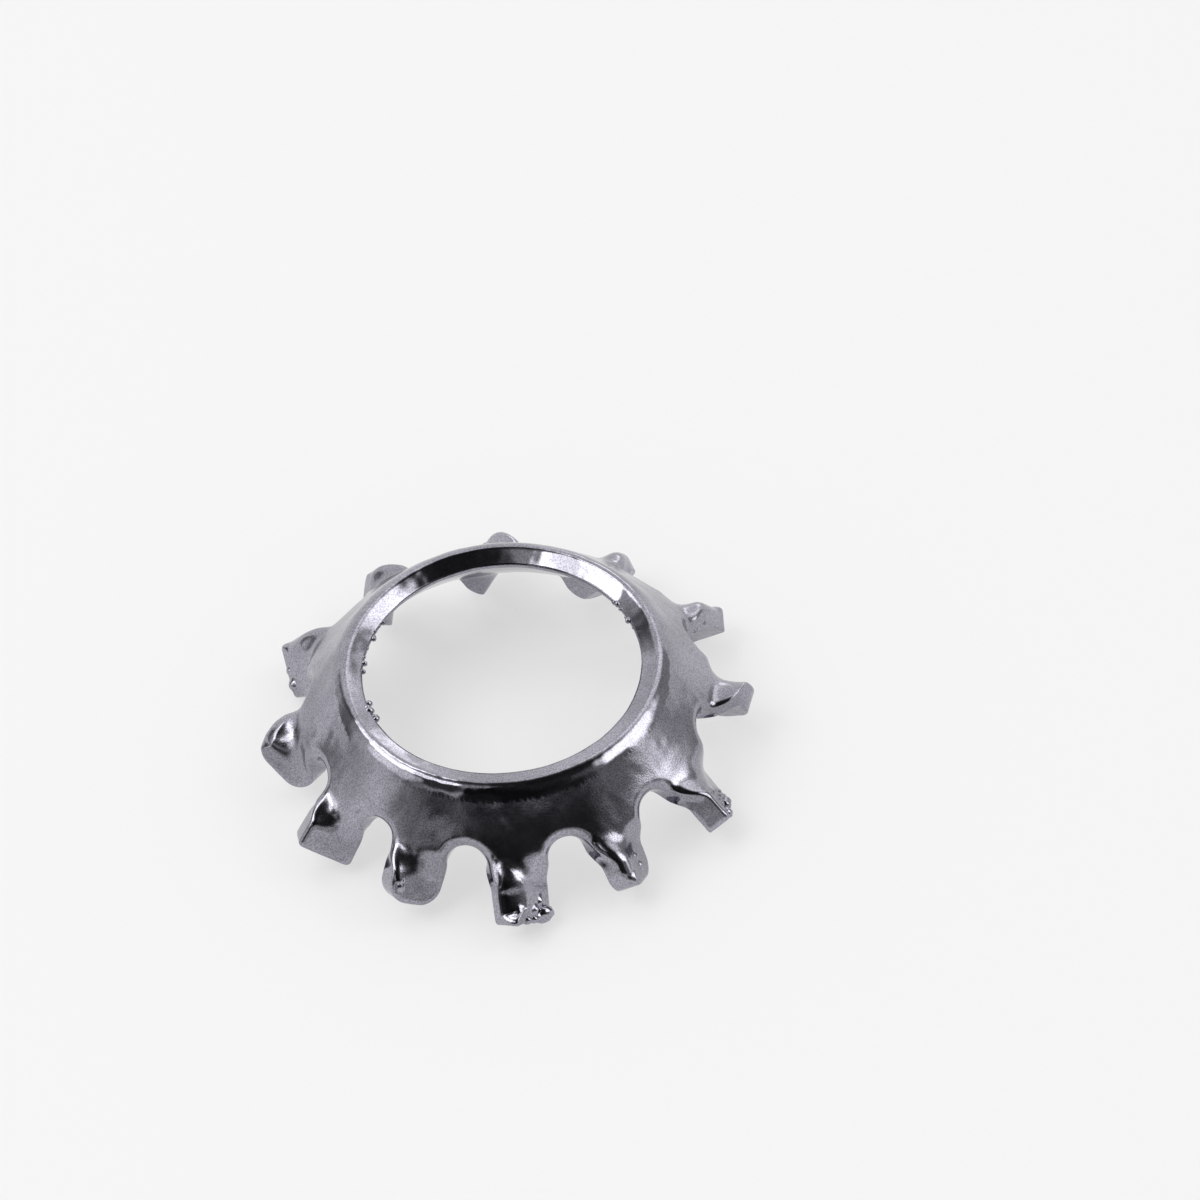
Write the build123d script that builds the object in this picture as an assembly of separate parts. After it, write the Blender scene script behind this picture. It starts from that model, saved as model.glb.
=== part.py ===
"""Countersunk toothed lock washer with external teeth, for an M5 countersunk screw.

One piece of spring sheet: a short conical collar whose hole edge points up, slotted from its wide
edge into twelve teeth, each twisted about its own run so that one corner bites. Square-ended and
round-ended teeth alternate. Millimetres, +Z up. The origin is on the axis, in the plane that the
lowest tooth corner stands on.

Places on the sheet are given by their run: the distance from the hole edge along the middle of the
sheet, down and outward. Widths and slots are measured square to the run.
"""
from build123d import *
from math import cos, pi, radians, sin, sqrt, tan
import os

# Sheet and collar
hole_diameter = 5.3        # narrowest width of the hole, clear of an M5 shank
hole_land = 0.06           # straight height at the narrowest width
sheet = 0.51               # sheet with its plating
rim_slope = 57.0           # degrees from level at the hole edge
skirt_slope = 50.0         # degrees from level from the end of the flare on
flare_run = 1.11           # the slope eases from one to the other over this run
rim_round = 0.07           # rounding of the hole edge's outer corner

# Slots between the teeth
tooth_count = 12
slot_run = 1.272           # run of the slot bottoms
slot_radius = 0.424        # round slot bottom
root_turn = 45.0           # degrees of the slot's round bottom that lie in the untwisted collar
twist_run = 0.687          # a tooth takes this run past its root to reach its full twist

# Tooth ends, alternately square and round
square_reach = 1.363       # from slot bottom to tooth end
square_half_width = 0.52
square_corner = 0.09
round_reach = 1.242
round_half_width = 0.50
round_corner = 0.384
twist = 50.0               # degrees, the clockwise edge raised, seen from above
flattening = 0.9           # share of the collar's bend that a tooth loses with its twist

# What the press left: (degrees off the even pitch, mm longer, degrees more twist, mm wider at each
# side of its end), from the tooth at the front (-Y) on, counter-clockwise seen from above
tooth_scatter = [
    (-1.0, 0.10, 0.0, 0.0),
    (-2.5, 0.12, 0.0, 0.02),
    (-3.0, 0.04, -6.0, 0.04),
    (1.5, -0.06, 8.0, 0.0),
    (1.0, 0.06, 2.0, 0.0),
    (-1.0, 0.02, -3.0, 0.0),
    (0.5, 0.0, 0.0, 0.0),
    (1.5, -0.02, 3.0, 0.0),
    (-0.5, 0.07, -2.0, 0.0),
    (5.0, -0.10, -2.0, 0.10),
    (2.7, -0.07, 4.0, 0.02),
    (0.0, 0.06, -4.0, 0.0),
]

section_step = 0.12        # spacing of the sections that a tooth is lofted through
corner_slack = 0.008       # the end's rounding starts this far outside the flanks and never shaves them

# Derived
pitch = 360.0 / tooth_count
flare_angle = radians(rim_slope - skirt_slope)
flare_radius = flare_run / flare_angle
land_depth = hole_land / (tan(radians(rim_slope)) + 1 / tan(radians(rim_slope)))
corner_radius = hole_diameter / 2 - land_depth   # of the sheet's inner corner, before the land
slot_centre_run = slot_run + slot_radius
root_run = slot_centre_run - slot_radius * cos(radians(root_turn))


def slope_at(run):
    """Slope of the sheet from level, in radians."""
    return radians(rim_slope) - flare_angle * min(run / flare_run, 1.0)


def middle_at(run):
    """(radius, height) of the middle of the sheet, with the hole edge's outer corner at height 0."""
    start = radians(rim_slope)
    now = slope_at(run)
    straight = max(run - flare_run, 0.0)
    radius = corner_radius + sheet / 2 * sin(start)
    radius += flare_radius * (sin(start) - sin(now)) + straight * cos(now)
    height = -sheet / 2 * cos(start)
    height -= flare_radius * (cos(now) - cos(start)) + straight * sin(now)
    return radius, height


def off_middle(run, offset):
    """Point of the collar's section at a distance outward from the middle of the sheet."""
    radius, height = middle_at(run)
    slope = slope_at(run)
    return radius + offset * sin(slope), height + offset * cos(slope)


def tooth_plane(run, angle, turn=0.0):
    """Plane across a tooth's run: x along its width, y out of the sheet, turned by its twist."""
    radius, height = middle_at(run)
    slope = slope_at(run)
    outward = Vector(cos(radians(angle)), sin(radians(angle)), 0)
    sideways = Vector(-outward.Y, outward.X, 0)
    down_the_run = outward * cos(slope) - Vector(0, 0, sin(slope))
    off_the_sheet = outward * sin(slope) + Vector(0, 0, cos(slope))
    lie = sideways * cos(radians(turn)) - off_the_sheet * sin(radians(turn))
    return Plane(outward * radius + Vector(0, 0, height), x_dir=lie, z_dir=down_the_run)


def collar(end_run):
    """The conical wall turned from its section: rounded hole edge, land, flare and skirt."""
    half = sheet / 2
    outer = [off_middle(flare_run * k / 2, half) for k in range(3)]
    inner = [off_middle(flare_run * k / 2, -half) for k in range(3)]
    with BuildPart() as wall:
        with BuildSketch(Plane.XZ) as section:
            with BuildLine():
                ThreePointArc(*outer)
                Polyline(outer[2], off_middle(end_run, half), off_middle(end_run, -half), inner[2])
                ThreePointArc(*reversed(inner))
                Line(inner[0], outer[0])
            make_face()
            with Locations((hole_diameter / 2, 0)):
                Rectangle(sheet, 4 * end_run, align=(Align.MAX, Align.CENTER), mode=Mode.SUBTRACT)
            fillet(section.vertices().sort_by(Axis.Y)[-1], rim_round)
        revolve(axis=Axis.Z)
    return wall.part


def half_width(run, gap, end_run, end_half):
    """Half width of a tooth towards a slot whose middle is gap radians away."""
    if run < slot_centre_run:
        return gap * middle_at(run)[0] - sqrt(slot_radius**2 - (slot_centre_run - run) ** 2)
    root_half = gap * middle_at(slot_centre_run)[0] - slot_radius
    return root_half + (end_half - root_half) * (run - slot_centre_run) / (end_run - slot_centre_run)


def bar_section(plane, left, right, bend):
    """Section of a tooth: a strip of the sheet, bent to a radius about the washer's axis side."""
    half = sheet / 2

    def at(width, offset):
        way = width / bend
        return (bend + offset) * sin(way), (bend + offset) * cos(way) - bend

    with BuildSketch(plane) as section:
        with BuildLine():
            ThreePointArc(at(-left, half), at((right - left) / 2, half), at(right, half))
            Line(at(right, half), at(right, -half))
            ThreePointArc(at(right, -half), at((right - left) / 2, -half), at(-left, -half))
            Line(at(-left, -half), at(-left, half))
        make_face()
    return section.sketch.face()


def corner_cutter(plane, flank, corner):
    """What rounding one corner of a tooth's end takes away; its flank lies at x = flank."""
    side = 1 if flank > 0 else -1
    centre = Pos(flank + side * (corner_slack - corner), corner)
    away = (Align.MIN if side > 0 else Align.MAX, Align.MAX)
    waste = centre * Rectangle(2 * corner, 2 * corner, align=away) - centre * Circle(corner)
    return extrude(Plane(plane.origin, x_dir=plane.x_dir, z_dir=plane.y_dir) * waste, sheet, both=True)


def tooth(root_face, angle, gaps, reach, end_half, corner, full_twist):
    """A twisted tooth lofted from its root face; the gaps reach to the middles of its slots."""
    end_run = slot_run + reach
    root_bend = middle_at(root_run)[0] / sin(slope_at(root_run))
    steps = max(3, round((end_run - root_run) / section_step))
    sections = [root_face]
    for k in range(1, steps + 1):
        run = root_run + (end_run - root_run) * k / steps
        share = min((run - root_run) / twist_run, 1.0)
        eased = share * share * (3 - 2 * share)
        left, right = [half_width(run, gap, end_run, end_half) for gap in gaps]
        plane = tooth_plane(run, angle, full_twist * eased)
        sections.append(bar_section(plane, left, right, root_bend / (1 - flattening * eased)))
    left, right = [half_width(end_run - corner, gap, end_run, end_half) for gap in gaps]
    return loft(sections) - corner_cutter(plane, -left, corner) - corner_cutter(plane, right, corner)


def washer():
    """The collar cut to its tooth roots, the teeth, and the skin of both closed to one solid."""
    scatter = [tooth_scatter[k % len(tooth_scatter)] for k in range(tooth_count)]
    angles = [-90 + pitch * k + scatter[k][0] for k in range(tooth_count)]
    wall = collar(slot_centre_run).rotate(Axis.Z, (angles[0] + angles[1]) / 2)
    for k in range(tooth_count):
        between = angles[k] + (angles[(k + 1) % tooth_count] - angles[k]) % 360 / 2
        across = tooth_plane(slot_centre_run, between)
        wall -= across * Rot(X=90) * Cylinder(slot_radius, 4 * sheet)
    for angle in angles:
        wide = 2 * (hole_diameter + slot_run)
        beyond = Box(wide, 4 * sheet, wide, align=(Align.CENTER, Align.CENTER, Align.MIN))
        wall -= tooth_plane(root_run, angle) * beyond
    skin = wall.faces().filter_by(GeomType.PLANE, reverse=True)
    for k in range(tooth_count):
        before = (angles[k] - angles[k - 1]) % 360 / 2
        after = (angles[(k + 1) % tooth_count] - angles[k]) % 360 / 2
        gaps = (radians(before), radians(after))
        root = Vector(tooth_plane(root_run, angles[k]).origin)
        root_face = wall.faces().sort_by_distance(root)[0]
        ends = (square_reach, square_half_width, square_corner)
        if k % 2:
            ends = (round_reach, round_half_width, round_corner)
        reach, end_half, corner = ends
        longer, more_twist, wider = scatter[k][1:]
        body = tooth(root_face, angles[k], gaps, reach + longer, end_half + wider, corner,
                     twist + more_twist)
        skin += body.faces().sort_by_distance(root)[1:]
    return Solid(Shell(skin))


part = washer()
lowest = min(point.Z for point in part.tessellate(0.01)[0])
part = Pos(0, 0, -lowest) * part
os.makedirs("parts", exist_ok=True)
export_step(part, "parts/washer.step")
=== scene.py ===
"""Countersunk toothed lock washer in bright plate: one pressed sheet piece and its plating beads.

Sizes and colours stand in property groups, each piece has an operator, and the sidebar lists them.
Lengths are in metres, as everything in Blender is, but for the tables that say millimetres.
"""
from math import cos, pi, radians, sin, tan

import bmesh
import bpy
import numpy as np
from bpy.props import FloatProperty, FloatVectorProperty, IntProperty, PointerProperty
from mathutils import Matrix, Vector


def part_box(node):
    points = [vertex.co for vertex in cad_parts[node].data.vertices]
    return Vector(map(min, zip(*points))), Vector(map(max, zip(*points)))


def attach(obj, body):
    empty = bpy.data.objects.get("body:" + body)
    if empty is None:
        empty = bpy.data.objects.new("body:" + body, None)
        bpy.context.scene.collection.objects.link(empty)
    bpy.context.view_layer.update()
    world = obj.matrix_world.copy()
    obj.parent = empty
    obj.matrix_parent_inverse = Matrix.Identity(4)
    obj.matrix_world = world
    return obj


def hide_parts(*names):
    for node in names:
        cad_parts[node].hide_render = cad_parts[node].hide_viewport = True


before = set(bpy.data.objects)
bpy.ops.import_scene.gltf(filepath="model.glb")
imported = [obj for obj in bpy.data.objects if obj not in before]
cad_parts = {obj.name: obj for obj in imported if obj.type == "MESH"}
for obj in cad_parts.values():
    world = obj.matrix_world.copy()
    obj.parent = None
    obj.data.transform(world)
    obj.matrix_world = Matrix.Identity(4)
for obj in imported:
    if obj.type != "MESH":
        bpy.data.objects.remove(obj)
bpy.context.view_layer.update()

bl_info = {
    "name": "Toothed lock washer",
    "version": (1, 0, 0),
    "blender": (4, 5, 0),
    "location": "3D View > Sidebar > Lock washer",
    "description": "Builds a plated countersunk toothed lock washer and a plain stage for it",
    "category": "Add Mesh",
}

LOW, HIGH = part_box("washer")

# What the press left on each tooth, from the one at the front (-Y) on, counter-clockwise seen
# from above: degrees off the even pitch, millimetres longer, degrees more twist, millimetres wider
# each side at the end, how broad the raised flank's rounding is beside the usual, and how flat: 0
# is a full round and 1 a bevel.
TOOTH_SCATTER = np.array([
    (-1.0, 0.10, 0.0, 0.0, 1.3, 0.5),
    (-2.5, 0.12, 0.0, 0.02, 0.8, 0.0),
    (-3.0, 0.04, -6.0, 0.04, 0.35, 0.0),
    (1.5, -0.06, 8.0, 0.0, 0.25, 0.0),
    (1.0, 0.06, 2.0, 0.0, 0.8, 0.0),
    (-1.0, 0.02, -3.0, 0.0, 0.8, 0.0),
    (0.5, 0.0, 0.0, 0.0, 0.8, 0.0),
    (1.5, -0.02, 3.0, 0.0, 0.8, 0.0),
    (-0.5, 0.07, -2.0, 0.0, 0.8, 0.0),
    (5.0, -0.10, -2.0, 0.10, 0.7, 0.6),
    (2.7, -0.07, 4.0, 0.02, 0.3, 0.0),
    (0.0, 0.06, -4.0, 0.0, 0.4, 0.0),
])

# Lumps of plating on the teeth: tooth number, back from its end, across it, off the sheet's middle
# and radius, each in millimetres.
TOOTH_LUMPS = np.array([
    (0, 0.05, 0.18, 0.22, 0.10),
    (0, 0.07, -0.36, 0.12, 0.13),
    (0, 0.24, -0.28, 0.15, 0.12),
    (0, 0.20, 0.08, 0.26, 0.11),
    (0, 0.33, 0.24, 0.26, 0.10),
    (2, 0.27, 0.22, 0.26, 0.12),
    (2, 0.30, -0.06, 0.26, 0.13),
    (2, 0.34, -0.30, 0.22, 0.12),
    (2, 0.52, -0.26, 0.22, 0.11),
    (4, 0.08, 0.25, 0.20, 0.15),
    (4, 0.10, -0.25, 0.20, 0.12),
    (6, 0.08, -0.20, 0.20, 0.13),
    (8, 0.09, 0.30, 0.20, 0.15),
    (8, 0.08, 0.02, 0.20, 0.10),
    (10, 0.05, 0.38, 0.14, 0.08),
    (11, 0.42, -0.36, 0.17, 0.13),
    (11, 0.30, -0.32, 0.20, 0.10),
    (1, 0.30, 0.04, 0.25, 0.10),
    (1, 0.50, -0.04, 0.25, 0.11),
])

# Beads on the tooth ends, in the same way.
TOOTH_BEADS = np.array([
    (0, 0.07, 0.33, 0.21, 0.19),
    (0, 0.03, 0.03, 0.22, 0.09),
    (0, 0.04, -0.16, 0.22, 0.09),
    (2, 0.05, 0.40, 0.15, 0.13),
    (2, 0.06, 0.16, 0.22, 0.12),
    (2, 0.12, -0.08, 0.23, 0.13),
    (2, 0.06, -0.32, 0.19, 0.13),
    (2, 0.26, -0.26, 0.22, 0.10),
    (2, 0.24, 0.08, 0.24, 0.08),
    (2, 0.18, -0.46, 0.10, 0.10),
    (11, 0.40, -0.38, 0.13, 0.11),
])

# Rows of beads along the hole's edge: from and to in degrees, counter-clockwise from +X seen from
# above, how many, and size as a share of the bead size.
HOLE_BEADS = [(144, 172, 8, 0.34), (191, 200, 5, 0.5), (16, 34, 6, 0.36), (244, 250, 2, 0.25)]

# How the beads of a row scatter: degrees along it, and from and to as shares of their size, how far
# out of the edge and how far up, and from and to how large beside it.
BEAD_TURN, BEAD_OUT, BEAD_UP, BEAD_SIZE = 0.8, (-0.5, 0.5), (-0.6, 0.4), (0.6, 1.2)
BEAD_BULGE = 0.22     # how far a bead is from round

# Slow waves in the plated faces: width in metres, how many sines make them up, and depth as a share
# of the waviness.
WAVES = [(0.0009, 40, 1.0), (0.0003, 60, 0.35)]

# Grids of the washer: points along half a slot, a flank and a tooth's end; rows down the collar and
# over an edge's rounding; rows over the rim's rounding, down its band and down its land.
OUTLINE_COUNTS = (13, 26, 34)
FACE_ROWS = (20, 10)
ROUND_ROWS, BAND_ROWS, LAND_ROWS = 10, 8, 3
FINE = 180            # steps that draw a quarter of a slot, or a flank, before they are respaced
EVEN_STEPS = 400      # steps of the outline in which its direction is evened out
CROWDING = 1.2        # share by which the outline's points are denser at a tooth's end
CROWDED_RUN = 0.0004  # run before the end in which they draw together
SEWN = 2e-7           # points of two patches that are closer than this are one

MIXED_RUN = 0.8       # share of a slot's radius in which the collar's shape turns to the tooth's
ROOT_BOW = 0.12       # how far the line across a tooth's root bows, as a share of a slot's radius
DEEPEST = 1.15        # a broad flank's rounding goes no deeper than this, beside the usual depth
OUTER_SATIN, INNER_SATIN = 1.0, 0.4   # how satin the two faces are, beside the glossy rim
GLOSSY_LUMP = 0.00002  # height from which a lump of plating is glossy all over

# Soft-edged cards and walls of the studio as the metal mirrors them: degrees right of the camera's
# side, degrees up, full within and gone beyond this many degrees, brightness. A later one covers
# an earlier one. Of these 31, a least-squares program gave 25, of which 15 are only rounded and 10
# were then changed, and 6 were added one by one.
STUDIO = [
    (42, 18, 19, 34, 0.26),
    (110, 15, 20, 25, 0.44),
    (-84, 11, 27, 56, 0.22),
    (-135, 31, 4, 24, 0.12),
    (-59, 27, 31, 56, 0.9),
    (-2, 2, 12, 20, 0.44),
    (-45, 33, 8, 36, 0.03),
    (31, 11, 3, 14, 0.8),
    (-55, 51, 22, 37, 0.6),
    (2, 42, 23, 28, 0.01),
    (-20, 27, 6, 15, 0.02),
    (-43, 19, 5, 10, 0.03),
    (33, 24, 2, 20, 0.02),
    (45, 64, 14, 34, 0.03),
    (27, 92, 1, 29, 0.04),
    (40, 72, 4, 20, 0.02),
    (-65, 45, 10, 27, 0.15),
    (-50, 44, 8, 15, 0.06),
    (-57, 61, 1, 8, 4.0),
    (-90, 51, 10, 14, 5.0),
    (-113, 50, 8, 13, 3.0),
    (-71, 58, 6, 10, 2.4),
    (-101, 44, 3, 10, 5.0),
    (-77, 33, 9, 17, 1.3),
    (-87, 31, 7, 14, 1.9),
    (84, 34, 10, 26, 3.2),
    (64, 17, 6, 12, 0.22),
    (149, 42, 11, 29, 1.7),
    (176, 12, 12, 22, 3.4),
    (-144, 58, 5, 13, 4.0),
    (-169, 28, 26, 38, 1.0),
]

# Lamps: degrees right of the camera's side, degrees up, half their spread in degrees, brightness.
LAMPS = [
    ("key_softbox", -72, 58, 15, 2.6),
    ("left_softbox", -101, 46, 8, 2.4),
    ("right_softbox", 94, 46, 9, 2.4),
    ("back_softbox", -142, 62, 10, 2.0),
]
LAMP_AWAY = 0.25      # how far the lamps stand from the origin, in metres


def length(name, description, default):
    """A length in metres."""
    return FloatProperty(name=name, description=description, default=default, min=0.0,
                         unit="LENGTH", subtype="DISTANCE", precision=6)


def angle(name, description, degrees):
    """An angle whose default is given in degrees."""
    return FloatProperty(name=name, description=description, default=radians(degrees),
                         unit="ROTATION", subtype="ANGLE")


def colour(name, description, default):
    """A colour in linear red, green and blue."""
    return FloatVectorProperty(name=name, description=description, default=default, size=3,
                               subtype="COLOR", min=0.0, max=1.0)


def share(name, description, default, top=1.0):
    """A bare number from 0 up to top."""
    return FloatProperty(name=name, description=description, default=default, min=0.0, max=top)


class WasherSizes(bpy.types.PropertyGroup):
    """Sizes of the washer and of its plating"""
    hole_diameter: length("Hole", "Narrowest width of the hole", 0.0053)
    hole_land: length("Land", "Straight height at the narrowest width", 0.00006)
    sheet: length("Sheet", "Thickness of the sheet with its plating", 0.00051)
    rim_slope: angle("Rim slope", "Slope from level at the hole edge", 57.0)
    skirt_slope: angle("Skirt slope", "Slope from level from the end of the flare on", 50.0)
    flare_run: length("Flare", "Run over which one slope eases into the other", 0.00111)
    rim_round: length("Rim round", "Rounding of the hole edge's outer corner, on the band", 0.00015)
    rim_fall: length("Rim fall", "How far down the outer face that rounding reaches", 0.00038)
    rim_lift: length("Rim lift", "How far the rim's inner corner lifts at the front", 0.00008)
    rim_point: length("Rim point", "How far the unrounded corner tops the frame's rim", 0.000027)
    slot_run: length("Slot run", "Run from the hole edge to the slot bottoms", 0.001272)
    slot_radius: length("Slot radius", "Radius of the round slot bottoms", 0.000424)
    root_turn: angle("Root turn", "Part of the slot's round that lies in the collar", 45.0)
    twist_run: length("Twist run", "Run past the root in which a tooth takes its twist", 0.000687)
    square_reach: length("Square reach", "Slot bottom to the end of a square tooth", 0.001363)
    square_half_width: length("Square half width", "Half the end of a square tooth", 0.00052)
    square_corner: length("Square corner", "Corner rounding of a square tooth", 0.00009)
    round_reach: length("Round reach", "Slot bottom to the end of a round tooth", 0.001242)
    round_half_width: length("Round half width", "Half the end of a round tooth", 0.0005)
    round_corner: length("Round corner", "Corner rounding of a round tooth", 0.000384)
    twist: angle("Twist", "Turn of a tooth about its run, clockwise edge raised", 50.0)
    flattening: share("Flattening", "Share of the collar's bend that a tooth loses", 0.9)
    edge_width: length("Edge width", "How far in the slots' outer rounding starts", 0.00022)
    edge_drop: length("Edge drop", "How far down the cut edge that rounding ends", 0.0002)
    raised_width: length("Raised edge width", "The same at a tooth's raised flank", 0.00034)
    raised_drop: length("Raised edge drop", "How far down it ends there", 0.00029)
    end_round: length("End round", "The same at a tooth's end and its lowered flank", 0.00009)
    under_round: length("Under round", "Rounding of the inner face's edges", 0.00003)
    corner_fan: length("Corner fan", "Outline over which a corner's rounding fans out", 0.00065)
    edge_build: length("Edge build-up", "Plating on the cut edges beyond the bare sheet", 0.00002)
    waviness: length("Waviness", "Depth of the slow waves in the plated faces", 0.0000025)
    lump_rise: share("Lump rise", "Height of a lump of plating on a tooth, of its radius", 0.55)
    bead: length("Bead", "Radius that the beads along the hole's edge are a share of", 0.00016)
    seed: IntProperty(name="Seed", description="Pattern of waves and nodules", default=5, min=0)


class WasherFinish(bpy.types.PropertyGroup):
    """Colours and roughness of the plate"""
    plate: colour("Plate", "Colour that the bright plate reflects", (0.43, 0.424, 0.486))
    shade: colour("Shade", "Colour of the plate in the pits of its grain", (0.26, 0.256, 0.294))
    gloss: share("Gloss roughness", "Roughness of the cut edges and the hole's rim", 0.07)
    satin: share("Satin roughness", "Roughness of the rolled outer face", 0.17)
    clouding: share("Clouding", "How much darker the plate is in its cloudy patches", 0.25)
    grain: share("Grain", "Strength of the fine frosty grain", 0.3)
    grain_size: length("Grain size", "Width of one grain of the frosting", 0.00003)


class StageSettings(bpy.types.PropertyGroup):
    """Floor, even light and camera"""
    floor: colour("Floor", "Colour of the plain floor", (0.9, 0.9, 0.9))
    floor_white: share("Floor white", "Share of plain white in the floor as it is seen", 0.5)
    floor_size: length("Floor size", "Side of the floor", 0.4)
    elevation: angle("Elevation", "Height of the camera above the horizon", 48.4)
    roll: angle("Roll", "Turn of the camera about its own axis", 6.0)
    distance: length("Distance", "From the camera to the middle of its view", 0.38)
    view_width: length("View width", "Width that the camera takes in at the object", 0.022693)
    to_the_right: length("To the right", "Middle of the view, right of the rim's middle", 0.001875)
    above: length("Above", "Middle of the view, above the rim's middle", 0.0011535)
    sky: share("Sky", "Strength of the even light from all round", 0.66, 4.0)


# ---------------------------------------------------------------- the shape of the washer


def slope_at(run, s):
    """Slope of the sheet from level: from the rim's to the skirt's, evenly along the flare."""
    return s.rim_slope - (s.rim_slope - s.skirt_slope) * np.minimum(run / s.flare_run, 1.0)


def middle_at(run, s):
    """(radius, height) of the sheet's middle: an arc along the flare, then a straight line.
    Height 0 is the hole edge's sharp outer corner."""
    start, now = s.rim_slope, slope_at(run, s)
    bend = s.flare_run / (s.rim_slope - s.skirt_slope)
    straight = np.maximum(run - s.flare_run, 0.0)
    land_depth = s.hole_land / (tan(start) + 1 / tan(start))
    radius = s.hole_diameter / 2 - land_depth + s.sheet / 2 * sin(start)
    radius = radius + bend * (sin(start) - np.sin(now)) + straight * np.cos(now)
    height = -s.sheet / 2 * cos(start) - bend * (np.cos(now) - cos(start)) - straight * np.sin(now)
    return radius, height


def eased(way):
    """0 up to 0, 1 from 1 on, and 3w^2 - 2w^3 between."""
    way = np.clip(way, 0.0, 1.0)
    return way * way * (3 - 2 * way)


def on_sheet(run, width, off, tooth, s):
    """Point of the sheet from its run, its width across the tooth and its distance off the middle.

    Near the hole it is a surface turned about the axis: the width is an arc at the radius of that
    run. Along a tooth it is a strip bent about the washer's side: the strip's frame runs down the
    tooth's middle line, turns about it by the twist, and its bend opens out as it turns. The two
    are mixed by a smooth step over the root.
    """
    radius, height = middle_at(run, s)
    slope = slope_at(run, s)
    root = s.slot_run + s.slot_radius * (1 - cos(s.root_turn))
    around = tooth["angle"] + width / radius
    reach = radius + off * np.sin(slope)
    collar = np.stack([reach * np.cos(around), reach * np.sin(around),
                       height + off * np.cos(slope)], -1)

    taken = eased((run - root) / s.twist_run)
    turn = tooth["twist"] * taken
    bend = middle_at(root, s)[0] / sin(slope_at(root, s)) / (1 - s.flattening * taken)
    outward = np.array([cos(tooth["angle"]), sin(tooth["angle"]), 0.0])
    sideways = np.array([-sin(tooth["angle"]), cos(tooth["angle"]), 0.0])
    up = np.array([0.0, 0.0, 1.0])
    off_sheet = np.sin(slope)[..., None] * outward + np.cos(slope)[..., None] * up
    lie = np.cos(turn)[..., None] * sideways - np.sin(turn)[..., None] * off_sheet
    out = np.cos(turn)[..., None] * off_sheet + np.sin(turn)[..., None] * sideways
    across = (bend + off) * np.sin(width / bend)
    lift = (bend + off) * np.cos(width / bend) - bend
    strip = radius[..., None] * outward + height[..., None] * up
    strip = strip + across[..., None] * lie + lift[..., None] * out

    mix = eased((run - s.slot_run - s.edge_build) / (MIXED_RUN * s.slot_radius))[..., None]
    return collar * (1 - mix) + strip * mix


def resampled(run, width, count, crowding=None):
    """A line drawn again with evenly spaced points, or closer ones where crowding is larger."""
    step = np.hypot(np.diff(run), np.diff(width))
    if crowding is not None:
        step = step * (crowding[1:] + crowding[:-1]) / 2
    way = np.append(0.0, np.cumsum(step))
    at = np.linspace(0.0, way[-1], count + 1)
    return np.interp(at, way, run), np.interp(at, way, width)


def outline(tooth, s, counts):
    """The tooth's outline as (run, width): half a slot bottom, flank, end, flank, half a slot.

    The slot is a circle, the flank tapers evenly from the circle's side to the end's width, and the
    end's corner is a quarter circle. The parts meet the face grid at its corners, so each has its
    own number of points: slot up to the root's turn, flank to the middle of the corner, end.
    """
    slot_count, flank_count, end_count = counts
    centre_run = s.slot_run + s.slot_radius
    end_run = s.slot_run + tooth["reach"]
    corner = tooth["corner"]

    def half(gap):
        turn = np.linspace(0.0, pi / 2, FINE + 1)
        run = centre_run - s.slot_radius * np.cos(turn)
        width = gap * middle_at(run, s)[0] - s.slot_radius * np.sin(turn)
        root_half = width[-1]
        down = np.linspace(centre_run, end_run - corner, FINE + 1)[1:]
        narrowing = (tooth["half"] - root_half) * (down - centre_run) / (end_run - centre_run)
        taper = root_half + narrowing
        bow = np.linspace(0.0, pi / 2, FINE // 2 + 1)[1:]
        bow_run = end_run - corner + corner * np.sin(bow)
        bow_width = taper[-1] - corner + corner * np.cos(bow)
        run = np.concatenate([run, down, bow_run])
        width = np.concatenate([width, taper, bow_width])
        root, middle = round(FINE * s.root_turn / (pi / 2)), 2 * FINE + FINE // 4
        crowding = 1.0 + CROWDING * np.clip((run - end_run) / CROWDED_RUN + 1.0, 0.0, 1.0)
        slot_part = resampled(run[:root + 1], width[:root + 1], slot_count)
        flank_part = resampled(run[root:middle + 1], width[root:middle + 1], flank_count,
                               crowding[root:middle + 1])
        return slot_part, flank_part, (run[middle:], width[middle:])

    slot_l, flank_l, end_l = half(tooth["gap_before"])
    slot_r, flank_r, end_r = half(tooth["gap_after"])
    tip_run = np.concatenate([end_l[0], end_r[0][::-1]])
    tip_width = np.concatenate([-end_l[1], end_r[1][::-1]])
    tip = resampled(tip_run, tip_width, end_count)
    run = np.concatenate([slot_l[0], flank_l[0][1:], tip[0][1:-1], flank_r[0][::-1],
                          slot_r[0][::-1][1:]])
    width = np.concatenate([-slot_l[1], -flank_l[1][1:], tip[1][1:-1], flank_r[1][::-1],
                            slot_r[1][::-1][1:]])
    return run, width


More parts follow.
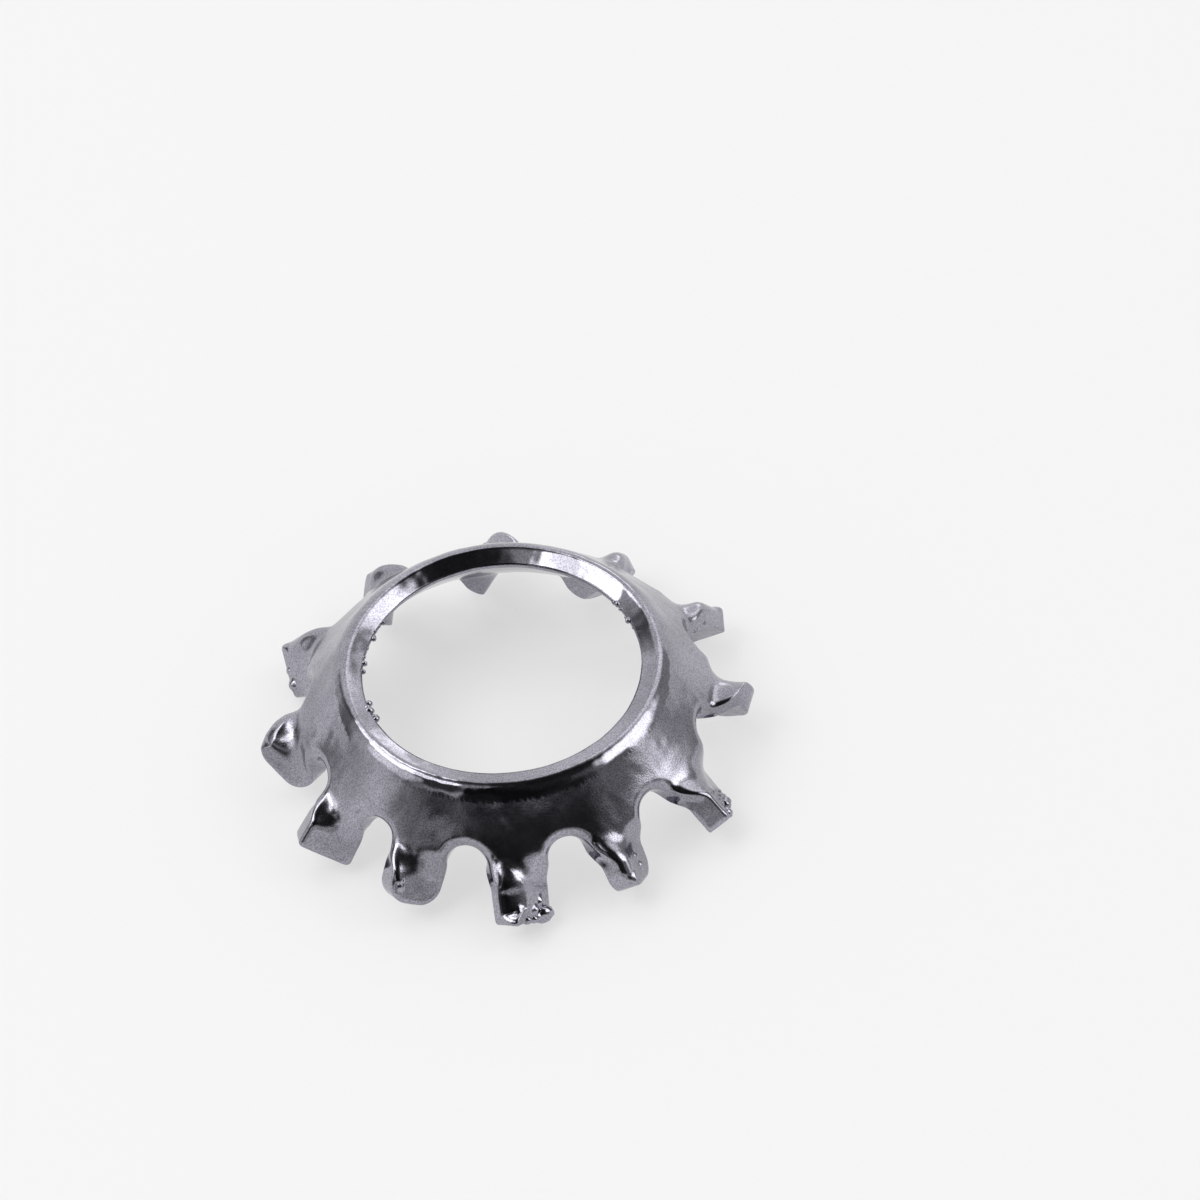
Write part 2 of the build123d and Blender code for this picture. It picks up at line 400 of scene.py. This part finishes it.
def inward(run, width, s, tooth):
    """Unit direction from the outline into the sheet: the outline's own direction turned by 90
    degrees, and evened out by a smooth window so that the tight corners fan out. At the two slot
    middles it follows the line straight up to the hole edge."""
    along_run, along_width = np.gradient(run), np.gradient(width)
    way = np.append(0.0, np.cumsum(np.hypot(np.diff(run), np.diff(width))))
    turn = np.unwrap(np.arctan2(along_run, -along_width))
    even = np.linspace(0.0, way[-1], EVEN_STEPS + 1)
    span = int(s.corner_fan / even[1]) // 2
    padded = np.pad(np.interp(even, way, turn), span, mode="reflect", reflect_type="odd")
    window = np.hanning(2 * span + 3)[1:-1]
    turn = np.interp(way, even, np.convolve(padded, window / window.sum(), "valid"))
    to_run, to_width = np.cos(turn), np.sin(turn)
    for end, gap in ((0, -tooth["gap_before"]), (-1, tooth["gap_after"])):
        lean = gap * cos(s.skirt_slope)
        to_run[end], to_width[end] = -1 / np.hypot(1, lean), -lean / np.hypot(1, lean)
    return to_run, to_width


def edge_round(tooth, s, counts):
    """(width, drop, bevel) of the rounding of the outer face's edge at each point of the outline.

    It passes evenly from the slot's to the raised flank's over half that flank, holds, and falls to
    the end's over the last part, so that it is narrow where the outline turns. A bevel of 0 is a
    quarter ellipse and 1 a straight slope.
    """
    slot, flank, end = counts
    at = np.cumsum([0, slot, 0.5 * flank, 0.28 * flank, 0.22 * flank, end, 0.5 * flank,
                    0.5 * flank, slot])
    index = np.arange(2 * slot + 2 * flank + end + 1)
    raised_width = s.raised_width * tooth["raised"]
    raised_drop = s.raised_drop * min(tooth["raised"], DEEPEST)
    width = [s.edge_width, s.edge_width, raised_width, raised_width, s.end_round, s.end_round,
             s.end_round, s.edge_width, s.edge_width]
    drop = [s.edge_drop, s.edge_drop, raised_drop, raised_drop, s.end_round, s.end_round,
            s.end_round, s.edge_drop, s.edge_drop]
    bevel = [0, 0, tooth["bevel"], tooth["bevel"], 0, 0, 0, 0, 0]
    return [np.interp(index, at, line) for line in (width, drop, bevel)]


def coons(top, bottom, left, right):
    """Grid between four lines: the two blends of opposite sides, less the blend of the corners.
    Each line is (points, 2); the sides share their end points."""
    down = np.linspace(0, 1, len(left))[:, None, None]
    across = np.linspace(0, 1, len(top))[None, :, None]
    sides = (1 - across) * left[:, None] + across * right[:, None]
    ends = (1 - down) * top[None] + down * bottom[None]
    corners = ((1 - down) * ((1 - across) * top[0] + across * top[-1])
               + down * ((1 - across) * bottom[0] + across * bottom[-1]))
    return sides + ends - corners


def faces_of(rows, columns, start, flip=False):
    """The quads of a grid whose points are numbered row by row from start."""
    first = start + (np.arange(rows - 1)[:, None] * columns + np.arange(columns - 1)).ravel()
    quad = np.stack([first, first + columns, first + columns + 1, first + 1], 1)
    return quad[:, ::-1] if flip else quad


def teeth_of(s):
    """Each tooth's place, gaps to its neighbours' slots and end, in radians and metres."""
    count = len(TOOTH_SCATTER)
    place = np.radians(-90 + 360 / count * np.arange(count) + TOOTH_SCATTER[:, 0])
    gap = (np.roll(place, -1) - place) % (2 * pi) / 2
    square = (s.square_reach, s.square_half_width, s.square_corner)
    curved = (s.round_reach, s.round_half_width, s.round_corner)
    teeth = []
    for k in range(count):
        reach, half, corner = curved if k % 2 else square
        teeth.append({
            "angle": place[k], "gap_before": gap[k - 1], "gap_after": gap[k],
            "half": half + TOOTH_SCATTER[k, 3] * 0.001,
            "reach": reach + TOOTH_SCATTER[k, 1] * 0.001, "corner": corner,
            "twist": s.twist + radians(TOOTH_SCATTER[k, 2]), "raised": TOOTH_SCATTER[k, 4],
            "bevel": TOOTH_SCATTER[k, 5],
        })
    return teeth


def sector(tooth, s, counts, rows):
    """One tooth with its sector of the collar, as patches of (points, flip or not, how satin).

    The outer and inner face each have a collar grid, from the hole edge to the slots and across the
    root, and a tooth grid from there to the end. The cut edge is a strip whose section is a quarter
    ellipse mixed with a straight bevel, a straight, and a quarter circle, square to the outline.
    The rim is a strip whose section is the hole edge's own: round, band and land. Its inner corner
    lifts at the front by the rim lift times ((1 - sine of the place round the axis) / 2) squared.
    """
    slot_count, flank_count, end_count = counts
    collar_rows, edge_rows = rows
    half = s.sheet / 2
    round_width, round_drop, bevel = edge_round(tooth, s, counts)
    run, width = outline(tooth, s, counts)
    to_run, to_width = inward(run, width, s, tooth)
    run, width = run - to_run * s.edge_build, width - to_width * s.edge_build
    left, right = slot_count, slot_count + 2 * flank_count + end_count
    low_left, low_right = slot_count + flank_count, slot_count + flank_count + end_count
    gap = np.linspace(-tooth["gap_before"], tooth["gap_after"], 2 * slot_count + end_count + 1)

    def face(start, inset):
        """Collar and tooth grid of one face that ends inset from the outline."""
        line = np.stack([run + to_run * inset, width + to_width * inset], 1)
        way = np.linspace(0.0, 1.0, end_count + 1)[:, None]
        root = line[left] * (1 - way) + line[right] * way
        root[:, 0] += 4 * way[:, 0] * (1 - way[:, 0]) * ROOT_BOW * s.slot_radius
        tooth_grid = coons(root, line[low_left:low_right + 1], line[left:low_left + 1],
                           line[low_right:right + 1][::-1])
        foot = np.concatenate([line[:left], root, line[right + 1:]])
        lean = foot[:, 1] / middle_at(foot[:, 0], s)[0]
        down = np.linspace(0.0, 1.0, collar_rows + 1)[:, None]
        foot_run = start + (foot[:, 0] - start) * down
        turn = gap + (lean - gap) * eased(down)
        return np.stack([foot_run, turn * middle_at(foot_run, s)[0]], -1), tooth_grid

    land_off = (s.hole_diameter / 2 - middle_at(0.0, s)[0]) / sin(s.rim_slope)
    land_depth = s.hole_land / (tan(s.rim_slope) + 1 / tan(s.rim_slope))
    inner_start = land_depth / cos(s.rim_slope)
    patches = []
    for start, inset, off in ((s.rim_fall, round_width, half), (inner_start, s.under_round, -half)):
        for grid in face(start, inset):
            level = np.full(grid.shape[:2], off)
            patches.append((on_sheet(grid[..., 0], grid[..., 1], level, tooth, s), off < 0,
                            OUTER_SATIN if off > 0 else INNER_SATIN))

    # the cut edge: over the outer face's round, down the straight, under the inner face's round
    turn = np.linspace(0.0, pi / 2, edge_rows + 1)[:, None]
    low = turn[::2]
    flat = np.linspace(half - round_drop, s.under_round - half, edge_rows // 2 + 1)[1:-1]
    way_in = (1 - bevel) * np.sin(turn) + bevel * turn / (pi / 2)
    way_down = (1 - bevel) * (1 - np.cos(turn)) + bevel * turn / (pi / 2)
    back = np.concatenate([round_width * (1 - way_in), 0 * flat,
                           s.under_round * (1 - np.cos(low)) + 0 * run])
    off = np.concatenate([half - round_drop * way_down, flat,
                          -half + s.under_round * (1 - np.sin(low)) + 0 * run])
    strip = on_sheet(run + to_run * back, width + to_width * back, off, tooth, s)
    patches.append((strip, False, np.clip(back / s.edge_width, INNER_SATIN, OUTER_SATIN)))

    # the rim: from the outer face over the round and along the band to the land, and down it
    turn = np.linspace(0.0, pi / 2, ROUND_ROWS)
    rim_run = np.append(s.rim_fall * (1 - np.sin(turn)), np.zeros(BAND_ROWS))
    rim_off = np.append(half - s.rim_round * (1 - np.cos(turn)),
                        np.linspace(half - s.rim_round, land_off, BAND_ROWS + 1)[1:])
    rim_run, rim_off = np.append(rim_run, inner_start), np.append(rim_off, -half)
    radius, height = middle_at(rim_run, s)
    slope = slope_at(rim_run, s)
    radius, height = radius + rim_off * np.sin(slope), height + rim_off * np.cos(slope)
    land = [np.linspace(line[-2], line[-1], LAND_ROWS + 1)[1:] for line in (radius, height)]
    radius, height = np.append(radius[:-1], land[0]), np.append(height[:-1], land[1])
    around = tooth["angle"] + gap
    lifted = np.concatenate([np.zeros(ROUND_ROWS), np.linspace(0, 1, BAND_ROWS + 1)[1:],
                             np.linspace(1, 0, LAND_ROWS + 1)[1:]])[:, None]
    lift = s.rim_lift * lifted * (0.5 - 0.5 * np.sin(around)) ** 2
    ring = np.stack([radius[:, None] * np.cos(around), radius[:, None] * np.sin(around),
                     height[:, None] + lift], -1)
    patches.append((ring, True, 0.0))
    return patches


def waves(points, width, count, seed):
    """Smooth noise of about unit size: sines of many directions and phases, added up."""
    rng = np.random.default_rng(seed)
    way = rng.normal(size=(count, 3))
    way *= (2 * pi / width * rng.uniform(0.6, 1.6, count) / np.linalg.norm(way, axis=1))[:, None]
    total = np.zeros(len(points))
    for direction, phase in zip(way, rng.uniform(0, 2 * pi, count)):
        total += np.sin(points @ direction + phase)
    return total * (2 / count) ** 0.5


def lump_field(points, centres, radii):
    """Height of rounded lumps of unit steepness: radius times (1 - distance^2 / radius^2)^1.5
    inside each radius, and where lumps overlap the higher one shows."""
    total = np.zeros(len(points))
    for centre, radius in zip(centres, radii):
        near = np.linalg.norm(points - centre, axis=1) / radius
        total = np.maximum(total, radius * np.clip(1 - near ** 2, 0, None) ** 1.5)
    return total


def mesh_object(name, points, faces, smooth=True):
    """A new object at the origin from an array of points and a list of faces."""
    mesh = bpy.data.meshes.new(name)
    mesh.from_pydata(points.tolist(), [], faces)
    mesh.update()
    obj = bpy.data.objects.new(name, mesh)
    bpy.context.scene.collection.objects.link(obj)
    if smooth:
        mesh.shade_smooth()
    return obj


def in_place(points, s):
    """Lifts points, whose height 0 is the rim's unrounded corner, to where it lies in the frame."""
    return points + np.array([0.0, 0.0, HIGH.z + s.rim_point])


def on_teeth(table, s):
    """Places and radii of the lumps or beads that a table lists on the teeth."""
    teeth = teeth_of(s)
    places = []
    for number, back, across, off, _ in table:
        tooth = teeth[int(number)]
        run = np.array([s.slot_run + tooth["reach"] - back * 0.001])
        places.append(on_sheet(run, np.array([across * 0.001]), np.array([off * 0.001]), tooth, s))
    return in_place(np.concatenate(places), s), table[:, 4] * 0.001


def balls(centres, radii, stretch, seed):
    """Closed round lumps as one mesh: unit spheres of ten meridians and seven bands, each with two
    poles, bulged by stretch * sin(2 longitude + phase), times their radius, at their centre."""
    rng = np.random.default_rng(seed)
    columns, rows = 10, 7
    rise = np.linspace(0, pi, rows + 1)[1:-1, None]
    round_by = np.linspace(0, 2 * pi, columns, endpoint=False)[None]
    phase = rng.uniform(0, 2 * pi, (len(centres), 1, 1))
    swell = 1 + stretch * np.sin(rise) * np.sin(2 * round_by + phase)
    belt = np.stack([swell * np.sin(rise) * np.cos(round_by),
                     swell * np.sin(rise) * np.sin(round_by),
                     np.cos(rise) * np.ones_like(swell)], -1).reshape(len(centres), -1, 3)
    poles = np.broadcast_to(np.array([[0.0, 0, 1], [0, 0, -1]]), (len(centres), 2, 3))
    points = centres[:, None] + radii[:, None, None] * np.concatenate([belt, poles], 1)
    size = (rows - 1) * columns
    here = np.arange(columns)
    beside = np.roll(here, -1)
    down = np.arange(rows - 2)[:, None] * columns
    quads = np.stack([here + down, here + down + columns, beside + down + columns,
                      beside + down], -1)
    caps = np.concatenate([np.stack([here, beside, np.full(columns, size)], -1),
                           np.stack([beside + size - columns, here + size - columns,
                                     np.full(columns, size + 1)], -1)])
    start = np.arange(len(centres))[:, None, None] * (size + 2)
    faces = (quads.reshape(1, -1, 4) + start).reshape(-1, 4).tolist()
    return points.reshape(-1, 3), faces + (caps[None] + start).reshape(-1, 3).tolist()


class WASHER_OT_body(bpy.types.Operator):
    """Build the pressed washer: collar, rim and twelve twisted teeth in one closed surface"""
    bl_idname = "washer.body"
    bl_label = "Washer"

    def execute(self, context):
        s = context.scene.washer_sizes
        points, quads, rolled, start = [], [], [], 0
        for tooth in teeth_of(s):
            for patch, flip, satin in sector(tooth, s, OUTLINE_COUNTS, FACE_ROWS):
                rows, columns = patch.shape[:2]
                quads.append(faces_of(rows, columns, start, flip))
                points.append(patch.reshape(-1, 3))
                rolled.append(np.broadcast_to(satin, (rows, columns)).ravel())
                start += rows * columns
        points = in_place(np.concatenate(points), s)
        obj = mesh_object("washer_body", points, np.concatenate(quads).tolist())
        layer = obj.data.attributes.new("rolled", "FLOAT", "POINT")
        layer.data.foreach_set("value", np.concatenate(rolled).astype(np.float32))
        sewn = bmesh.new()
        sewn.from_mesh(obj.data)
        bmesh.ops.remove_doubles(sewn, verts=sewn.verts, dist=SEWN)
        if any(len(edge.link_faces) != 2 for edge in sewn.edges):
            raise RuntimeError("the washer's patches don't close")
        sewn.to_mesh(obj.data)
        sewn.free()
        self.plate(obj.data, s)
        obj.data.shade_smooth()
        obj.data.materials.append(plate_material(context.scene.washer_finish))
        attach(obj, "root")
        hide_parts("washer")
        return {"FINISHED"}

    def plate(self, mesh, s):
        """Moves the skin along its normals, by slow waves all over and by the lumps on the teeth,
        keeps it in the frame's box, and makes the lumps glossy."""
        points = np.empty(len(mesh.vertices) * 3)
        normals = np.empty(len(mesh.vertices) * 3)
        mesh.vertices.foreach_get("co", points)
        mesh.vertex_normals.foreach_get("vector", normals)
        points, normals = points.reshape(-1, 3), normals.reshape(-1, 3)
        lumps = lump_field(points, *on_teeth(TOOTH_LUMPS, s))
        rise = np.zeros(len(points))
        for number, (width, count, depth) in enumerate(WAVES, 1):
            rise += depth * s.waviness * waves(points, width, count, s.seed + number)
        rise += s.lump_rise * lumps
        moved = points + normals * rise[:, None]
        moved = np.clip(moved, np.array(LOW), np.array(HIGH))
        mesh.vertices.foreach_set("co", moved.ravel())
        rolled = np.empty(len(points))
        mesh.attributes["rolled"].data.foreach_get("value", rolled)
        rolled *= 1 - np.clip(lumps / GLOSSY_LUMP, 0, 1)
        mesh.attributes["rolled"].data.foreach_set("value", rolled.astype(np.float32))
        mesh.update()


class WASHER_OT_beads(bpy.types.Operator):
    """Add the beads of plating on the tooth ends and along the hole's edge"""
    bl_idname = "washer.beads"
    bl_label = "Plating beads"

    def execute(self, context):
        s = context.scene.washer_sizes
        rng = np.random.default_rng(s.seed + 9)
        centres, radii = [], []
        depth = middle_at(0.0, s)[1] - s.sheet / 2 * cos(s.rim_slope)
        for start, end, count, part in HOLE_BEADS:
            turn = np.radians(np.linspace(start, end, count) + rng.normal(0, BEAD_TURN, count))
            reach = s.hole_diameter / 2 + rng.uniform(*BEAD_OUT, count) * s.bead * part
            height = depth + rng.uniform(*BEAD_UP, count) * s.bead * part
            centres.append(np.stack([reach * np.cos(turn), reach * np.sin(turn), height], -1))
            radii.append(s.bead * part * rng.uniform(*BEAD_SIZE, count))
        places, sizes = on_teeth(TOOTH_BEADS, s)
        centres = np.concatenate([in_place(np.concatenate(centres), s), places])
        radii = np.concatenate(radii + [sizes])
        points, faces = balls(centres, radii, BEAD_BULGE, s.seed + 3)
        points = np.clip(points, np.array(LOW), np.array(HIGH))
        obj = mesh_object("plating_beads", points, faces)
        obj.data.materials.append(bpy.data.materials["bright_plate"])
        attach(obj, "root")
        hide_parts("washer")
        return {"FINISHED"}


# ---------------------------------------------------------------- finish


def wire(tree, kind, **inputs):
    """A new node with its inputs set, each to a value or to another node's output. An input is
    given by its name, or as i0, i1 and so on by its number."""
    node = tree.nodes.new(kind)
    for name, value in inputs.items():
        socket = node.inputs[int(name[1:])] if name[0] == "i" and name[1:].isdigit() \
            else node.inputs[name.replace("_", " ")]
        if isinstance(value, bpy.types.NodeSocket):
            tree.links.new(value, socket)
        else:
            socket.default_value = value
    return node


def plate_material(f):
    """Bright plate. The roughness goes from the gloss to a mottled satin with the attribute
    rolled, the colour from the shade in the grain's pits to the plate, darker in cloudy patches,
    and the same grain makes the bump, where the plate is rolled."""
    mottle_scale, patch_scale, bump_height = 1500.0, 900.0, 0.000005
    material = bpy.data.materials.new("bright_plate")
    material.use_nodes = True
    tree = material.node_tree
    shader = tree.nodes["Principled BSDF"]
    place = tree.nodes.new("ShaderNodeTexCoord").outputs["Object"]
    rolled = tree.nodes.new("ShaderNodeAttribute")
    rolled.attribute_name = "rolled"
    mottle = wire(tree, "ShaderNodeTexNoise", Vector=place, Scale=mottle_scale, Detail=3.0)
    grain = wire(tree, "ShaderNodeTexNoise", Vector=place, Scale=1 / f.grain_size, Detail=2.0)
    satin = wire(tree, "ShaderNodeMapRange", Value=mottle.outputs["Fac"], i1=0.3, i2=0.7,
                 i3=0.8 * f.satin, i4=1.25 * f.satin)
    rough = tree.nodes.new("ShaderNodeMix")
    tree.links.new(rolled.outputs["Fac"], rough.inputs["Factor"])
    rough.inputs["A"].default_value = f.gloss
    tree.links.new(satin.outputs["Result"], rough.inputs["B"])
    tree.links.new(rough.outputs["Result"], shader.inputs["Roughness"])
    pits = wire(tree, "ShaderNodeMapRange", Value=grain.outputs["Fac"], i1=0.35, i2=0.6)
    tone = tree.nodes.new("ShaderNodeMix")
    tone.data_type = "RGBA"
    tree.links.new(pits.outputs["Result"], tone.inputs["Factor"])
    tone.inputs["A"].default_value = (*f.shade, 1)
    tone.inputs["B"].default_value = (*f.plate, 1)
    patch = wire(tree, "ShaderNodeTexNoise", Vector=place, Scale=patch_scale, Detail=4.0)
    patch = wire(tree, "ShaderNodeMapRange", Value=patch.outputs["Fac"], i1=0.36, i2=0.6,
                 i3=1 - f.clouding, i4=1.0)
    dull = wire(tree, "ShaderNodeVectorMath", i0=tone.outputs[2])
    dull.operation = "SCALE"
    tree.links.new(patch.outputs["Result"], dull.inputs["Scale"])
    tree.links.new(dull.outputs["Vector"], shader.inputs["Base Color"])
    height = wire(tree, "ShaderNodeMath", i0=grain.outputs["Fac"], i1=rolled.outputs["Fac"])
    height.operation = "MULTIPLY"
    bump = wire(tree, "ShaderNodeBump", Strength=f.grain, Distance=bump_height,
                Height=height.outputs["Value"])
    tree.links.new(bump.outputs["Normal"], shader.inputs["Normal"])
    shader.inputs["Metallic"].default_value = 1.0
    return material


# ---------------------------------------------------------------- stage


class WASHER_OT_stage(bpy.types.Operator):
    """Set up the floor, the light and the camera"""
    bl_idname = "washer.stage"
    bl_label = "Stage"

    def execute(self, context):
        g = context.scene.stage_settings
        self.floor(g)
        self.light(g)
        self.camera(g, context.scene)
        context.scene.view_settings.view_transform = "Standard"
        return {"FINISHED"}

    def floor(self, g):
        """A plain pale sheet at height 0. To the camera, and in gloss and glass, part of it is
        plain white, and the rest keeps the shadow."""
        side = np.linspace(-g.floor_size / 2, g.floor_size / 2, 3)
        x, y = np.meshgrid(side, side)
        points = np.stack([x, y, np.zeros_like(x)], -1).reshape(-1, 3)
        floor = mesh_object("floor", points, faces_of(3, 3, 0, True).tolist(), smooth=False)
        material = bpy.data.materials.new("pale_floor")
        material.use_nodes = True
        shader = material.node_tree.nodes["Principled BSDF"]
        shader.inputs["Base Color"].default_value = (*g.floor, 1)
        shader.inputs["Roughness"].default_value = 0.8
        shader.inputs["Specular IOR Level"].default_value = 0.1
        tree = material.node_tree
        ray = tree.nodes.new("ShaderNodeLightPath")
        seen = wire(tree, "ShaderNodeMath", i0=ray.outputs["Is Camera Ray"],
                    i1=ray.outputs["Is Glossy Ray"])
        seen = wire(tree, "ShaderNodeMath", i0=seen.outputs["Value"],
                    i1=ray.outputs["Is Transmission Ray"])
        part = wire(tree, "ShaderNodeMath", i0=seen.outputs["Value"], i1=g.floor_white)
        part.operation = "MULTIPLY"
        white = wire(tree, "ShaderNodeEmission", Color=(1.0, 1.0, 1.0, 1.0))
        whiter = wire(tree, "ShaderNodeMixShader", Fac=part.outputs["Value"],
                      i1=shader.outputs["BSDF"], i2=white.outputs["Emission"])
        tree.links.new(whiter.outputs["Shader"], tree.nodes["Material Output"].inputs["Surface"])
        floor.data.materials.append(material)

    def light(self, g):
        """An even sky, which glossy metal sees as the studio's cards and walls, and the lamps."""
        world = bpy.data.worlds.new("studio")
        bpy.context.scene.world = world
        world.use_nodes = True
        tree = world.node_tree
        tree.nodes.clear()
        direction = tree.nodes.new("ShaderNodeTexCoord").outputs["Generated"]
        ray = tree.nodes.new("ShaderNodeLightPath")

        def towards(aim, inner, outer):
            """1 within inner degrees of a direction, falling smoothly to 0 at outer degrees."""
            dot = tree.nodes.new("ShaderNodeVectorMath")
            dot.operation = "DOT_PRODUCT"
            tree.links.new(direction, dot.inputs[0])
            dot.inputs[1].default_value = Vector(aim).normalized()
            ramp = wire(tree, "ShaderNodeMapRange", Value=dot.outputs["Value"],
                        i1=cos(radians(outer)), i2=cos(radians(inner)), i3=0.0, i4=1.0)
            ramp.interpolation_type = "SMOOTHSTEP"
            return ramp.outputs["Result"]

        def mixed(level, factor, value):
            """level where factor is 0 and value where it is 1."""
            node = tree.nodes.new("ShaderNodeMix")
            for name, given in (("Factor", factor), ("A", level), ("B", value)):
                if isinstance(given, bpy.types.NodeSocket):
                    tree.links.new(given, node.inputs[name])
                else:
                    node.inputs[name].default_value = given
            return node.outputs["Result"]

        def aim(turn, rise):
            """Direction at turn degrees right of the camera's side and rise degrees up."""
            return (sin(radians(turn)) * cos(radians(rise)),
                    -cos(radians(turn)) * cos(radians(rise)), sin(radians(rise)))

        level = 1.0
        for turn, rise, inner, outer, value in STUDIO:
            level = mixed(level, towards(aim(turn, rise), inner, outer), value)
        seen = mixed(g.sky, ray.outputs["Is Glossy Ray"], level)
        seen = mixed(seen, ray.outputs["Is Camera Ray"], 1.0)
        seen = mixed(seen, ray.outputs["Is Transmission Ray"], 1.0)
        back = wire(tree, "ShaderNodeBackground", Color=(1.0, 1.0, 1.0, 1.0), Strength=seen)
        output = tree.nodes.new("ShaderNodeOutputWorld")
        tree.links.new(back.outputs["Background"], output.inputs["Surface"])

        for name, turn, rise, spread, brightness in LAMPS:
            lamp = bpy.data.lights.new(name, "AREA")
            radius = LAMP_AWAY * tan(radians(spread))
            lamp.shape, lamp.size = "DISK", 2 * radius
            lamp.energy = brightness * pi * pi * radius ** 2   # brightness times pi times its area
            holder = bpy.data.objects.new(name, lamp)
            bpy.context.scene.collection.objects.link(holder)
            holder.location = Vector(aim(turn, rise)) * LAMP_AWAY
            holder.visible_glossy = False
            holder.rotation_mode = "QUATERNION"
            holder.rotation_quaternion = holder.location.to_track_quat("Z", "Y")

    def camera(self, g, scene):
        """Looks along +Y and down, turned by the roll, at a point set off from the rim's middle."""
        right, up = Vector((1, 0, 0)), Vector((0, sin(g.elevation), cos(g.elevation)))
        back = right.cross(up)
        turned = right * cos(g.roll) - up * sin(g.roll)
        upward = right * sin(g.roll) + up * cos(g.roll)
        s = scene.washer_sizes
        aim = Vector(in_place(np.zeros(3), s)) + turned * g.to_the_right + upward * g.above
        data = bpy.data.cameras.new("camera")
        data.lens = data.sensor_width * g.distance / g.view_width
        data.clip_start, data.clip_end = 0.01, 10
        camera = bpy.data.objects.new("camera", data)
        scene.collection.objects.link(camera)
        pose = Matrix((turned, upward, back)).transposed().to_4x4()
        camera.matrix_world = Matrix.Translation(aim + back * g.distance) @ pose
        scene.camera = camera


class WASHER_PT_panel(bpy.types.Panel):
    """Lists the sizes, the colours, the stage and what builds them"""
    bl_idname = "WASHER_PT_panel"
    bl_label = "Toothed lock washer"
    bl_space_type = "VIEW_3D"
    bl_region_type = "UI"
    bl_category = "Lock washer"

    def draw(self, context):
        for group in ("washer_sizes", "washer_finish", "stage_settings"):
            box = self.layout.box()
            settings = getattr(context.scene, group)
            for name in settings.__annotations__:
                box.prop(settings, name)
        for kind in (WASHER_OT_body, WASHER_OT_beads, WASHER_OT_stage):
            self.layout.operator(kind.bl_idname)


CLASSES = (WasherSizes, WasherFinish, StageSettings, WASHER_OT_body, WASHER_OT_beads,
           WASHER_OT_stage, WASHER_PT_panel)


def register():
    for kind in CLASSES:
        bpy.utils.register_class(kind)
    bpy.types.Scene.washer_sizes = PointerProperty(type=WasherSizes)
    bpy.types.Scene.washer_finish = PointerProperty(type=WasherFinish)
    bpy.types.Scene.stage_settings = PointerProperty(type=StageSettings)


def unregister():
    del bpy.types.Scene.washer_sizes, bpy.types.Scene.washer_finish, bpy.types.Scene.stage_settings
    for kind in reversed(CLASSES):
        bpy.utils.unregister_class(kind)


def main():
    register()
    bpy.ops.washer.body()
    bpy.ops.washer.beads()
    bpy.ops.washer.stage()


if __name__ == "__main__":
    main()
